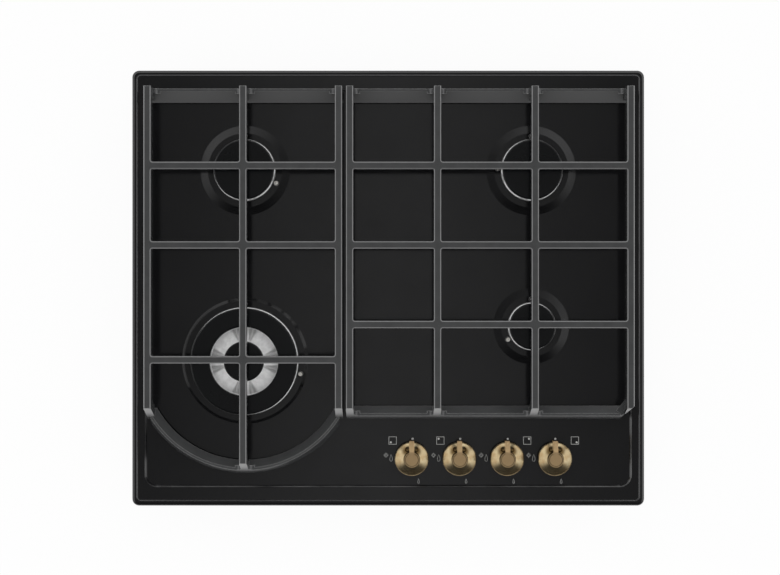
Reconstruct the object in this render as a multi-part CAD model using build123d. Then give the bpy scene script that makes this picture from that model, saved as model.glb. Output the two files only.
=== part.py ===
from build123d import *
from collections import namedtuple
import math
import os

os.makedirs("parts", exist_ok=True)

# Gas cooktop for a worktop cut-out, in mm. X runs along the front, +Y to the rear, +Z up.
# The origin is the middle of the bottom box's underside.

# ---------------------------------------------------------------- driving sizes
# Worktop and cut-out
cutout_side_cover = 20.0  # plate beyond the cut-out at each side
cutout_end_cover = 10.0  # and at the front and rear
worktop_z = 50.0  # worktop surface above the underside of the bottom box
cut_over = 1.0  # cutters run this far past a face

# Top plate
plate_width = 600.0
plate_depth = 510.0
plate_corner = 8.0
plate_sheet = 1.2
lip_gap = 0.5  # rim lip above the worktop
rim_height = 7.0  # top of the rim above the worktop
rim_round = 4.6
rim_side = 15.0  # rim's width at the sides, to the tray's upper edge
rim_end = 22.0  # and at the front and rear
tray_corner = 14.0
tray_drop = 2.5  # tray floor below the top of the rim
tray_slope = 2.5  # run of the slope round the tray

# Worktop seal
seal_width = 8.0
seal_inset = 0.5  # seal's outer edge in from the flat under the rim
seal_inner_corner = 6.0

# Bottom box
box_side_gap = 6.0  # box wall to the cut-out's side
box_end_gap = 13.0  # box wall to the cut-out's front and rear
box_sheet = 0.8
box_corner = 6.0
box_flange = 11.0
box_bend_round = 3.0

# Burners
burner_side = 132.5  # plate's side edge to a column of burners
rear_burner_end = 117.3  # plate's rear edge to the rear burners
small_burner_end = 210.4  # plate's front edge to the small burner
triple_burner_end = 169.9  # plate's front edge to the triple burner
medium_crown_radius = 36.4
small_crown_radius = 28.4
triple_crown_radius = 63.4
dome_rise = 3.5  # raised ring of the plate round each burner
dome_margin = 7.0  # flat of the dome outside the crown
dome_slope = 9.0
triple_dome_slope = 3.5
crown_seat_rise = 2.0  # cup's rim above the dome
hole_margin = 3.6  # crown's edge outside its hole in the plate
cup_hole_gap = 0.5
cup_wall = 2.4
cup_flange_height = 3.0
cup_flange_gap = 0.3
cup_bowl_floor = 2.6
cup_bowl_depth = 20.0
crown_base = 2.2
crown_height = 9.5
crown_lip = 2.2  # bright lip of the crown outside its wall
crown_wall = 5.6
crown_skirt_depth = 3.0
crown_skirt_wall = 2.0
crown_skirt_gap = 0.4
port_width = 1.9
port_depth = 4.2
medium_ports = 24
small_ports = 18
triple_ports = 40
triple_inner_ports = 20
centre_ports = 12
mixing_tube_length = 7.5
mixing_tube_wall = 2.4
medium_tube_bore = 8.8  # radius of the mixing tube's bore
small_tube_bore = 6.8
centre_tube_bore = 9.4
cap_height = 4.6
cap_lip = 1.6  # crown's bright edge seen outside the cap
cap_round = 2.0
cap_ring_height = 2.4
cap_ring_wall = 2.0
cap_ring_gap = 0.4
injector_hex = 10.0
injector_height = 8.0
injector_bore = 1.2
injector_boss_radius = 8.6
injector_boss_drop = 8.4  # boss's lower face below the inlet's axis
inlet_radius = 6.4
inlet_length = 9.0

# Triple crown: ring burner round a centre burner
ring_inner_radius = 39.8
ring_inner_wall = 6.0
cone_drop = 4.2
centre_cap_radius = 23.4
centre_wall = 6.0
centre_rise = 2.0
notch_angle = 15.0
notch_width = 8.0
notch_depth = 2.2
notch_end_gap = 1.8

# Spark electrodes and thermocouples
probe_offset = 3.3  # probe's middle outside the crown's edge
probe_hole_gap = 0.3
probe_plate_gap = 1.0
ceramic_radius = 2.2
ceramic_round = 0.7
ceramic_rise = 11.5  # ceramic's tip above the tray floor
ceramic_length = 28.0
collar_radius = 3.8
collar_height = 2.5
pin_radius = 0.7
pin_rise = 3.0
pin_tail = 4.0
pin_gap = 0.05
thermocouple_radius = 1.9
thermocouple_rise = 12.5
thermocouple_length = 30.0
thermocouple_round = 0.9
thermocouple_angle = 90.0
spark_angles = {"rear_left": -22.5, "rear_right": 177.0, "front_right": 209.0, "front_left": -13.0}

# Taps and knobs
knob_side = 105.5  # plate's side edge to the last knob
knob_end = 55.8  # plate's front edge to the knobs
knob_pitch = 55.7
knob_count = 4
tap_width = 32.0
tap_depth = 30.0
tap_floor_z = 16.0
tap_height = 32.0
tap_corner = 5.0
tap_cover_height = 2.0
tap_screw_head = 3.2  # radius
tap_screw_rise = 1.0
tap_screw_inset = 4.0
plug_top_radius = 8.0
plug_bottom_radius = 6.6
plug_height = 15.0
plug_floor = 4.0
plug_gap = 0.05
plug_port = 2.5
spindle_radius = 3.0
spindle_flat = 1.6  # from the axis to the flat
spindle_gap = 0.05
spindle_collar_radius = 6.4
spindle_collar_height = 2.0
spindle_bore_depth = 10.0
spindle_end_gap = 0.5
spindle_round_rise = 2.0  # round part of the spindle above the tap's cover
push_travel = 3.0
spring_radius = 5.0
spring_wire = 0.9
spring_turns = 2.5
spring_gap = 0.2
magnet_radius = 7.5
magnet_height = 12.0
magnet_nut_radius = 8.5
magnet_nut_height = 3.0
tap_outlet_z = 36.0
tap_outlet_radius = 5.8
tap_outlet_length = 8.0
rail_radius = 5.5
rail_z = 22.5
rail_offset = 24.0  # rail behind the taps' axes
rail_end = 18.0
rail_wall = 1.2
rail_gap = 0.1
rail_saddle_wall = 1.0
rail_foot = 10.0
rail_foot_sheet = 5.0
switch_width = 12.0
switch_depth = 8.0
switch_height = 14.0
tube_radius = 4.0
tube_wall = 0.8
tube_bend = 12.5
tube_step = 42.0  # straight run before a tube steps sideways

# Knob
knob_radius = 19.75
knob_rest_rise = 5.0  # knob's lower edge above the tray floor
knob_height = 16.5
knob_skirt = 4.4
knob_rim_step = 1.0  # bevel round the skirt
knob_flank_run = 5.5  # hollow of the flank, in from the edge
knob_flank_rise = 4.2
knob_boss_fillet = 1.0
knob_top_wall = 4.0  # spindle's end to the knob's top
knob_wall = 1.6
knob_boss_radius = 8.7
knob_boss_rise = 5.0
knob_groove = 0.8
knob_groove_depth = 0.7
pointer_width = 5.6
pointer_reach = 1.2  # pointer's tip beyond the rim
pointer_tip_height = 8.2
pocket_width = 4.6
pocket_radius = 5.0
pocket_lift = 1.0  # pocket's middle above the shoulder
knob_hub_radius = 5.6
knob_hub_lift = 2.0
hole_seal_outer = 6.0
hole_seal_height = 1.6
hole_seal_gap = 0.3
spindle_hole_radius = 4.4

# Pan supports
support_shift_x = 1.0  # the loose supports sit this far right of the burners' axes
support_shift_y = 3.0  # and this far behind them
support_top = 46.0  # above the tray floor
support_foot = 4.0  # pads' height, and the casting's underside above the tray floor
bar_width = 8.6
bar_height = 12.0
bar_round = 2.2
bar_corner = 2.0
bar_pitch = 109.6  # side bars from the bar over the burners
right_inner_pitch = 111.9
support_gap = 12.7  # pitch of the two supports' neighbouring bars
middle_cross_y = 49.5
support_rear_end = 23.2  # plate's rear edge to the supports
support_front_end = 102.2  # plate's front edge to the right support
support_arc_radius = 134.0
support_front_slope = 15.0  # run of the sloping front ends over their height
corner_cut_size = 13.0  # cut across the right support's outer front corner, at its foot
corner_cut_lean = 3.5  # how far the cut goes in over the casting's height
corner_leg_width = 6.0  # the corner's leg, in from the cut along each axis
corner_leg_top = 4.0  # its top edge turns by this much over the bar's width
leg_depth = 13.0
leg_round = 8.0
gusset_round = 7.0  # webs that run from the bands' tops up the legs
gusset_depth = 6.0
band_height = 12.0
band_width = 15.5
band_edge = 3.0
band_inner_height = 2.0
pad_radius = 3.6
pad_inset = 8.0
pad_side_inset = 3.0
arc_pad_angle = 40.0

# Gas inlet, supply pipe and gland
inlet_side = 27.0  # bottom box's side to the inlet's axis
inlet_thread_radius = 10.48
inlet_thread_length = 8.0
inlet_bore = 7.0
inlet_nut_radius = 13.5
inlet_nut_length = 5.0
inlet_socket_length = 12.0
gland_x = -20.0
gland_z = 20.0
gland_radius = 9.0
gland_neck_radius = 6.0
gland_bore = 3.6
gland_length = 10.0
gland_flange = 2.5

# Ignition
module_width = 60.0
module_depth = 55.0
module_height = 26.0
module_x = -20.0
module_gap = 22.9  # from the front left sensing lead's run to the module's front
module_round = 2.0
spark_lead_radius = 1.5
spark_lead_z = 6.0
sense_lead_radius = 1.0
sense_lead_z = 12.5
harness_radius = 1.2
harness_z = 20.0
harness_gap = 0.1
lead_bend = 9.0
lead_step = 36.0  # straight run before a lead steps sideways
lead_lane = 18.6  # and how far it steps
lead_gap = 0.1

# Worktop clamps
clamp_x = 180.0
clamp_width = 14.0
clamp_sheet = 1.5
clamp_leg = 30.0
clamp_grip = 8.0  # reach under the worktop, past the cut-out's edge
clamp_floor_z = 4.0
clamp_tip = 6.0
clamp_screw_z = 24.0
clamp_screw_radius = 1.9
clamp_head_radius = 3.8
clamp_head_height = 2.4
clamp_screw_length = 9.0
screw_gap = 0.1

# ---------------------------------------------------------------- sizes that follow
cutout_width = plate_width - 2 * cutout_side_cover
cutout_depth = plate_depth - 2 * cutout_end_cover
box_width = cutout_width - 2 * box_side_gap
box_depth = cutout_depth - 2 * box_end_gap
tray_width = plate_width - 2 * rim_side
tray_depth = plate_depth - 2 * rim_end
rim_z = worktop_z + rim_height
tray_z = rim_z - tray_drop
under_tray_z = tray_z - plate_sheet
dome_z = tray_z + dome_rise
under_dome_z = dome_z - plate_sheet
crown_z = dome_z + crown_seat_rise
cap_z = crown_z + crown_height
bowl_z = crown_z - cup_bowl_depth
support_top_z = tray_z + support_top
support_low_z = tray_z + support_foot
bar_under_z = support_top_z - bar_height
burner_x = plate_width / 2 - burner_side
rear_burner_y = plate_depth / 2 - rear_burner_end
small_burner_y = small_burner_end - plate_depth / 2
triple_burner_y = triple_burner_end - plate_depth / 2
support_rear_y = plate_depth / 2 - support_rear_end
support_front_y = support_front_end - plate_depth / 2
tap_top_z = tap_floor_z + tap_height
cover_top_z = tap_top_z + tap_cover_height
plug_z = tap_floor_z + plug_floor
plug_top_z = plug_z + plug_height
knob_y = knob_end - plate_depth / 2
knob_z = tray_z + knob_rest_rise
rail_y = knob_y + rail_offset
tap_rear_y = knob_y + tap_depth / 2
tap_front_y = knob_y - tap_depth / 2
tube_start_y = tap_rear_y + tap_outlet_length
box_rear_y = box_depth / 2
inlet_x = box_width / 2 - inlet_side
first_knob_x = plate_width / 2 - knob_side - knob_pitch * (knob_count - 1)

# Each burner: place, crown radius, mixing tube's bore, ports, the dome's slope and the inlet's turn
Burner = namedtuple("Burner", "name x y radius bore ports slope inlet")
burners = [
    Burner("front_left", -burner_x, triple_burner_y, triple_crown_radius,
           centre_tube_bore, triple_ports, triple_dome_slope, 0.0),
    Burner("rear_left", -burner_x, rear_burner_y, medium_crown_radius,
           medium_tube_bore, medium_ports, dome_slope, 0.0),
    Burner("rear_right", burner_x, rear_burner_y, medium_crown_radius,
           medium_tube_bore, medium_ports, dome_slope, -90.0),
    Burner("front_right", burner_x, small_burner_y, small_crown_radius,
           small_tube_bore, small_ports, dome_slope, -90.0),
]
knob_places = [first_knob_x + knob_pitch * n for n in range(knob_count)]


# ---------------------------------------------------------------- small shared forms
def block(x0, x1, y0, y1, z0, z1):
    """A box between two corners."""
    return Pos((x0 + x1) / 2, (y0 + y1) / 2, (z0 + z1) / 2) * Box(x1 - x0, y1 - y0, z1 - z0)


def post(x, y, z0, z1, radius):
    """An upright cylinder."""
    return Pos(x, y, (z0 + z1) / 2) * Cylinder(radius, z1 - z0)


def rod_along_y(x, z, y0, y1, radius):
    """A cylinder lying front to back."""
    return Pos(x, (y0 + y1) / 2, z) * Rot(90, 0, 0) * Cylinder(radius, y1 - y0)


def rod_along_x(y, z, x0, x1, radius):
    """A cylinder lying left to right."""
    return Pos((x0 + x1) / 2, y, z) * Rot(0, 90, 0) * Cylinder(radius, x1 - x0)


def turned(points, x=0.0, y=0.0):
    """A profile of (radius, height) points turned about an upright axis."""
    profile = Plane.XZ * make_face(Polyline(*points, close=True))
    return Pos(x, y, 0) * revolve(profile, Axis.Z)


def rounded_slab(width, depth, corner, z0, z1):
    """An upright prism with rounded corners, centred on the origin."""
    return Pos(0, 0, z0) * extrude(RectangleRounded(width, depth, corner), z1 - z0)


def flared_slab(width, depth, corner, flare, z0, z1):
    """A prism whose sides flare outwards by flare from bottom to top."""
    low = Pos(0, 0, z0) * RectangleRounded(width, depth, corner)
    high = Pos(0, 0, z1) * RectangleRounded(width + 2 * flare, depth + 2 * flare, corner + flare)
    return loft([low, high], ruled=True)


def tube_along(points, bend, radius, wall=0.0):
    """A round tube or lead along straight runs joined by bends."""
    path = FilletPolyline(*points, radius=bend)
    start = Plane(origin=path @ 0, z_dir=path % 0)
    outer = sweep(start * Circle(radius), path=path)
    if wall > 0:
        outer = outer - sweep(start * Circle(radius - wall), path=path)
    return outer


def around(burner, radius, angle):
    """A place at a radius and an angle round a burner's axis."""
    turn = math.radians(angle)
    return burner.x + radius * math.cos(turn), burner.y + radius * math.sin(turn)


def spark_place(burner):
    return around(burner, burner.radius + probe_offset, spark_angles[burner.name])


def sense_place(burner):
    return around(burner, burner.radius + probe_offset, thermocouple_angle)


def dome_radius(burner):
    """The flat top of the plate's raised ring round a crown."""
    return burner.radius + dome_margin


def hole_radius(burner):
    """The plate's hole under a crown."""
    return burner.radius - hole_margin


def cup_radius(burner):
    return hole_radius(burner) - cup_hole_gap


# ---------------------------------------------------------------- top plate
def plate_form(inset):
    """The pressed plate as a filled form: the outer skin, or the inner one set in by the sheet."""
    top = rim_z - inset
    form = rounded_slab(
        plate_width - 2 * inset, plate_depth - 2 * inset, plate_corner - inset, worktop_z + lip_gap, top
    )
    form = fillet(form.edges().group_by(Axis.Z)[-1], rim_round - inset)
    tray = flared_slab(
        tray_width - 2 * tray_slope + 2 * inset,
        tray_depth - 2 * tray_slope + 2 * inset,
        tray_corner - tray_slope + inset,
        tray_slope,
        top - tray_drop,
        top,
    )
    form = form - tray
    for burner in burners:
        dome = Cone(dome_radius(burner) + burner.slope, dome_radius(burner), dome_rise)
        form = form + Pos(burner.x, burner.y, top - tray_drop + dome_rise / 2) * dome
    return form


def make_top_plate():
    plate = plate_form(0.0) - plate_form(plate_sheet)
    plate = plate - block(
        -plate_width, plate_width, -plate_depth, plate_depth, 0, worktop_z + lip_gap
    )
    holes = []
    for burner in burners:
        holes.append(post(burner.x, burner.y, worktop_z, crown_z, hole_radius(burner)))
        for place in (spark_place(burner), sense_place(burner)):
            holes.append(post(*place, worktop_z, crown_z, ceramic_radius + probe_plate_gap))
    for x in knob_places:
        holes.append(post(x, knob_y, worktop_z, rim_z, spindle_hole_radius))
    return plate - holes


def make_worktop_seal():
    """The soft strip between the rim and the worktop."""
    outer_width = plate_width - 2 * (rim_round + seal_inset)
    outer_depth = plate_depth - 2 * (rim_round + seal_inset)
    top = rim_z - plate_sheet
    strip = rounded_slab(outer_width, outer_depth, plate_corner, worktop_z, top)
    return strip - rounded_slab(
        outer_width - 2 * seal_width, outer_depth - 2 * seal_width, seal_inner_corner, worktop_z, top
    )


def make_bottom_box():
    """The folded tray under the plate, with an inward flange that the plate rests on."""
    shell = rounded_slab(box_width, box_depth, box_corner, 0, under_tray_z)
    shell = fillet(shell.edges().group_by(Axis.Z)[0], box_bend_round)
    inner = rounded_slab(
        box_width - 2 * box_sheet,
        box_depth - 2 * box_sheet,
        box_corner - box_sheet,
        box_sheet,
        under_tray_z - box_sheet,
    )
    inner = fillet(inner.edges().group_by(Axis.Z)[0], box_bend_round - box_sheet)
    mouth = rounded_slab(
        box_width - 2 * box_flange, box_depth - 2 * box_flange, box_corner, box_sheet, under_tray_z
    )
    box = shell - inner - mouth
    y0 = box_rear_y - 2 * box_bend_round
    y1 = box_rear_y + cut_over
    box = box - rod_along_y(inlet_x, rail_z, y0, y1, inlet_thread_radius)
    box = box - rod_along_y(gland_x, gland_z, y0, y1, gland_neck_radius + screw_gap)
    for x in (-clamp_x, clamp_x):
        box = box - rod_along_y(
            x, clamp_screw_z, -box_depth, box_depth, clamp_screw_radius + screw_gap
        )
    return box


# ---------------------------------------------------------------- burners
def make_burner_cup(burner):
    """The cast cup under the plate: rim, flange, bowl, injector boss and side inlet."""
    outer = cup_radius(burner)
    inner = outer - cup_wall
    flange = dome_radius(burner) - cup_flange_gap
    flange_low = under_dome_z - cup_flange_height
    bowl_low = bowl_z - cup_bowl_floor
    cup = turned([
        (0, bowl_low), (outer - cup_wall, bowl_low), (outer, bowl_low + cup_wall),
        (outer, flange_low), (flange, flange_low), (flange, under_dome_z),
        (outer, under_dome_z), (outer, crown_z), (inner, crown_z), (inner, bowl_z), (0, bowl_z),
    ])
    boss = post(0, 0, tap_outlet_z - injector_boss_drop, bowl_z, injector_boss_radius)
    reach = outer + inlet_length
    pipe = rod_along_x(0, tap_outlet_z, 0, reach, inlet_radius)
    bore = rod_along_x(0, tap_outlet_z, 0, reach + cut_over, tube_radius - tube_wall)
    cup = cup + boss + (pipe - post(0, 0, bowl_z, crown_z, outer - cup_wall / 2))
    cup = cup - bore - post(0, 0, tap_outlet_z, crown_z, injector_bore)
    cup = Pos(burner.x, burner.y, 0) * Rot(0, 0, burner.inlet) * cup
    for place in (spark_place(burner), sense_place(burner)):
        hole = ceramic_radius + probe_hole_gap
        cup = cup - post(*place, flange_low - cut_over, under_dome_z + cut_over, hole)
    return cup


def make_injector(burner):
    """The brass jet that stands in the middle of the cup's bowl."""
    jet = Pos(0, 0, bowl_z) * extrude(RegularPolygon(injector_hex / 2, 6), injector_height / 2)
    jet = jet + post(0, 0, bowl_z, bowl_z + injector_height, injector_hex / 3)
    jet = jet - post(0, 0, bowl_z, bowl_z + injector_height, injector_bore)
    return Pos(burner.x, burner.y, 0) * jet


def ports(count, radius, wall, top):
    """Radial slots through a ring's wall, open at its top."""
    slot = Box(wall + 2 * cut_over, port_width, port_depth)
    slot = Pos(radius - wall / 2, 0, top - port_depth / 2) * slot
    return [Rot(0, 0, (n + 0.5) * 360.0 / count) * slot for n in range(count)]


def make_crown(burner):
    """A medium or small flame crown: lip, slotted wall, locating skirt and mixing tube."""
    edge = burner.radius
    wall_out = edge - crown_lip
    wall_in = wall_out - crown_wall
    skirt_out = cup_radius(burner) - cup_wall - crown_skirt_gap
    skirt_in = skirt_out - crown_skirt_wall
    tube_in = burner.bore
    tube_out = tube_in + mixing_tube_wall
    floor = crown_z + crown_base
    crown = turned([
        (tube_in, crown_z - mixing_tube_length), (tube_out, crown_z - mixing_tube_length),
        (tube_out, crown_z), (skirt_in, crown_z), (skirt_in, crown_z - crown_skirt_depth),
        (skirt_out, crown_z - crown_skirt_depth), (skirt_out, crown_z), (edge, crown_z),
        (edge, crown_z + crown_base / 2), (wall_out, floor + crown_base / 2), (wall_out, cap_z),
        (wall_in, cap_z), (wall_in, floor), (tube_out, floor + crown_base),
        (tube_in, floor + crown_base),
    ])
    crown = crown - ports(burner.ports, wall_out, crown_wall, cap_z)
    return Pos(burner.x, burner.y, 0) * crown


def make_triple_crown(burner):
    """The triple crown: a slotted ring with two walls, a notched cone and a centre burner."""
    edge = burner.radius
    wall_out = edge - crown_lip
    wall_in = wall_out - crown_wall
    skirt_out = cup_radius(burner) - cup_wall - crown_skirt_gap
    skirt_in = skirt_out - crown_skirt_wall
    tube_in = burner.bore
    tube_out = tube_in + mixing_tube_wall
    floor = crown_z + crown_base
    ring_in = ring_inner_radius + cap_lip
    ring_mid = ring_in + ring_inner_wall
    centre_out = centre_cap_radius - cap_lip
    centre_in = centre_out - centre_wall
    cone_top = floor + cone_drop
    crown = turned([
        (tube_in, crown_z - mixing_tube_length), (tube_out, crown_z - mixing_tube_length),
        (tube_out, crown_z), (skirt_in, crown_z), (skirt_in, crown_z - crown_skirt_depth),
        (skirt_out, crown_z - crown_skirt_depth), (skirt_out, crown_z), (edge, crown_z),
        (edge, crown_z + crown_base / 2), (wall_out, floor + crown_base / 2), (wall_out, cap_z),
        (wall_in, cap_z), (wall_in, floor), (ring_mid, floor), (ring_mid, cap_z), (ring_in, cap_z),
        (ring_in, floor), (centre_cap_radius, cone_top), (centre_out, cone_top),
        (centre_out, cap_z + centre_rise), (centre_in, cap_z + centre_rise),
        (centre_in, floor + crown_base), (tube_in, floor + crown_base),
    ])
    crown = crown - ports(burner.ports, wall_out, crown_wall, cap_z)
    crown = crown - ports(triple_inner_ports, ring_mid, ring_inner_wall, cap_z)
    crown = crown - ports(centre_ports, centre_out, centre_wall, cap_z + centre_rise)
    slope = math.degrees(math.atan2(cone_drop, ring_in - centre_cap_radius))
    middle = (ring_in + centre_cap_radius) / 2
    groove = Polyline(
        (-notch_width / 2, notch_depth), (0, -notch_depth), (notch_width / 2, notch_depth), close=True
    )
    length = ring_in - centre_cap_radius - 2 * notch_end_gap
    groove = extrude(Plane.YZ * make_face(groove), length / 2, both=True)
    groove = Pos(middle, 0, floor + cone_drop / 2) * Rot(0, slope, 0) * groove
    for quarter in range(4):
        for side in (-1, 1):
            crown = crown - Rot(0, 0, 90.0 * quarter + side * notch_angle) * groove
    return Pos(burner.x, burner.y, 0) * crown


def make_cap(burner):
    """An enamelled lid with a rounded edge and a locating ring under it."""
    edge = burner.radius - cap_lip
    ring = burner.radius - crown_lip - crown_wall - cap_ring_gap
    lid = post(0, 0, cap_z, cap_z + cap_height, edge)
    lid = fillet(lid.edges().group_by(Axis.Z)[-1], cap_round)
    lid = lid + (
        post(0, 0, cap_z - cap_ring_height, cap_z, ring)
        - post(0, 0, cap_z - cap_ring_height, cap_z, ring - cap_ring_wall)
    )
    return Pos(burner.x, burner.y, 0) * lid


def make_ring_cap(burner):
    """The ring lid over the triple crown's outer burner."""
    edge = burner.radius - cap_lip
    ring_out = burner.radius - crown_lip - crown_wall - cap_ring_gap
    ring_in = ring_inner_radius + cap_lip + ring_inner_wall + cap_ring_gap
    lid = post(0, 0, cap_z, cap_z + cap_height, edge)
    lid = lid - post(0, 0, cap_z, cap_z + cap_height, ring_inner_radius)
    lid = fillet(lid.edges().group_by(Axis.Z)[-1], cap_round)
    lid = lid + (
        post(0, 0, cap_z - cap_ring_height, cap_z, ring_out)
        - post(0, 0, cap_z - cap_ring_height, cap_z, ring_in)
    )
    return Pos(burner.x, burner.y, 0) * lid


def make_centre_cap(burner):
    """The small lid over the triple crown's centre burner."""
    low = cap_z + centre_rise
    ring = centre_cap_radius - cap_lip - centre_wall - cap_ring_gap
    lid = post(0, 0, low, low + cap_height, centre_cap_radius)
    lid = fillet(lid.edges().group_by(Axis.Z)[-1], cap_round)
    lid = lid + (
        post(0, 0, low - cap_ring_height, low, ring)
        - post(0, 0, low - cap_ring_height, low, ring - cap_ring_wall)
    )
    return Pos(burner.x, burner.y, 0) * lid


# ---------------------------------------------------------------- electrodes and thermocouples
ceramic_top_z = tray_z + ceramic_rise
ceramic_low_z = ceramic_top_z - ceramic_length
collar_top_z = under_dome_z - cup_flange_height
pin_low_z = ceramic_low_z - pin_tail
thermocouple_top_z = tray_z + thermocouple_rise
thermocouple_low_z = thermocouple_top_z - thermocouple_length


def make_ceramic(burner):
    """An electrode's white insulator, with the collar that holds it under the cup's flange."""
    x, y = spark_place(burner)
    rod = post(x, y, ceramic_low_z, ceramic_top_z, ceramic_radius)
    rod = fillet(rod.edges().group_by(Axis.Z)[-1], ceramic_round)
    rod = rod + post(x, y, collar_top_z - collar_height, collar_top_z, collar_radius)
    return rod - post(x, y, ceramic_low_z, ceramic_top_z, pin_radius + pin_gap)


def make_electrode_pin(burner):
    """The steel pin through the insulator."""
    x, y = spark_place(burner)
    return post(x, y, pin_low_z, ceramic_top_z + pin_rise, pin_radius)


def make_thermocouple(burner):
    """The steel probe beside the crown, with its nut under the cup's flange."""
    x, y = sense_place(burner)
    rod = post(x, y, thermocouple_low_z, thermocouple_top_z, thermocouple_radius)
    rod = fillet(rod.edges().group_by(Axis.Z)[-1], thermocouple_round)
    return rod + post(x, y, collar_top_z - collar_height, collar_top_z, collar_radius)


# ---------------------------------------------------------------- taps
def make_tap_body(x):
    """The cast body: conical bore for the plug, spring chamber, outlet and rail saddle."""
    body = Pos(x, knob_y, tap_floor_z) * extrude(
        RectangleRounded(tap_width, tap_depth, tap_corner), tap_height
    )
    saddle = rod_along_y(x, rail_z, knob_y, rail_y, rail_radius + rail_saddle_wall)
    body = body + saddle - rod_along_x(rail_y, rail_z, x - tap_width, x + tap_width, rail_radius + rail_gap)
    body = body + rod_along_y(x, tap_outlet_z, knob_y, tube_start_y, tap_outlet_radius)
    body = body - rod_along_y(
        x, tap_outlet_z, tap_rear_y - tap_corner, tube_start_y, tube_radius - tube_wall
    )
    bore = Cone(plug_bottom_radius + plug_gap, plug_top_radius + plug_gap, plug_height)
    body = body - Pos(x, knob_y, plug_z + plug_height / 2) * bore
    return body - post(x, knob_y, plug_top_z, tap_top_z, plug_top_radius + plug_gap)


def make_tap_cover(x):
    """The steel plate that keeps the plug and spring in the body, with two screws."""
    cover = Pos(x, knob_y, tap_top_z) * extrude(
        RectangleRounded(tap_width, tap_depth, tap_corner), tap_cover_height
    )
    cover = cover - post(x, knob_y, tap_top_z, rim_z, spindle_radius + probe_hole_gap)
    for side in (-1, 1):
        screw_x = x + side * (tap_width / 2 - tap_screw_inset)
        screw_y = knob_y + side * (tap_depth / 2 - tap_screw_inset)
        cover = cover + post(screw_x, screw_y, tap_top_z, cover_top_z + tap_screw_rise, tap_screw_head)
    return cover


def d_section(radius, flat):
    """A round shaft with one flat, towards +Y."""
    reach = 2 * radius
    return Circle(radius) - Pos(0, flat + reach / 2) * Rectangle(2 * reach, reach)


def make_tap_plug(x):
    """The conical valve plug that turns with the spindle, with its gas port."""
    plug = Pos(x, knob_y, plug_z + plug_height / 2) * Cone(
        plug_bottom_radius, plug_top_radius, plug_height
    )
    socket = extrude(
        d_section(spindle_radius + spindle_gap, spindle_flat + spindle_gap), spindle_bore_depth + push_travel
    )
    plug = plug - Pos(x, knob_y, plug_top_z - spindle_bore_depth - push_travel) * socket
    return plug - rod_along_x(knob_y, plug_z + plug_port, x, x + plug_top_radius, plug_port / 2)


spindle_low_z = plug_top_z - spindle_bore_depth + spindle_end_gap
collar_high_z = tap_top_z - spring_gap
collar_low_z = collar_high_z - spindle_collar_height
spindle_flat_z = cover_top_z + spindle_round_rise
spindle_top_z = knob_z + knob_height - knob_top_wall


def make_tap_spindle(x):
    """The steel spindle with its flat, and the collar that the spring pushes on."""
    lower = extrude(d_section(spindle_radius, spindle_flat), collar_low_z - spindle_low_z)
    middle = post(0, 0, collar_low_z, spindle_flat_z, spindle_radius)
    upper = extrude(d_section(spindle_radius, spindle_flat), spindle_top_z - spindle_flat_z)
    collar = post(0, 0, collar_low_z, collar_high_z, spindle_collar_radius)
    shaft = Pos(0, 0, spindle_low_z) * lower + middle + Pos(0, 0, spindle_flat_z) * upper + collar
    return Pos(x, knob_y, 0) * shaft


def make_tap_spring(x):
    """The return spring between the plug and the spindle's collar."""
    low = plug_top_z + spring_gap + spring_wire / 2
    high = collar_low_z - spring_gap - spring_wire / 2
    pitch = (high - low) / spring_turns
    path = Helix(pitch, high - low, spring_radius)
    start = Plane(origin=path @ 0, z_dir=path % 0)
    coil = sweep(start * Rectangle(spring_wire, spring_wire), path=path, is_frenet=True)
    return Pos(x, knob_y, low) * coil


def make_safety_magnet(x):
    """The flame failure magnet screwed under the tap body."""
    magnet = post(x, knob_y, tap_floor_z - magnet_height, tap_floor_z, magnet_radius)
    nut = extrude(RegularPolygon(magnet_nut_radius, 6), magnet_nut_height)
    return magnet + Pos(x, knob_y, tap_floor_z - magnet_nut_height) * nut


def make_ignition_switch(x):
    """The small switch on the tap's front that the pushed spindle closes."""
    return block(
        x - switch_width / 2, x + switch_width / 2, tap_front_y - switch_depth, tap_front_y,
        harness_z - switch_height / 2, harness_z + switch_height / 2,
    )


def make_spindle_seal(x):
    """The rubber ring round a spindle's hole in the plate."""
    ring = post(x, knob_y, tray_z, tray_z + hole_seal_height, hole_seal_outer)
    return ring - post(x, knob_y, tray_z, rim_z, spindle_radius + hole_seal_gap)


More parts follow.
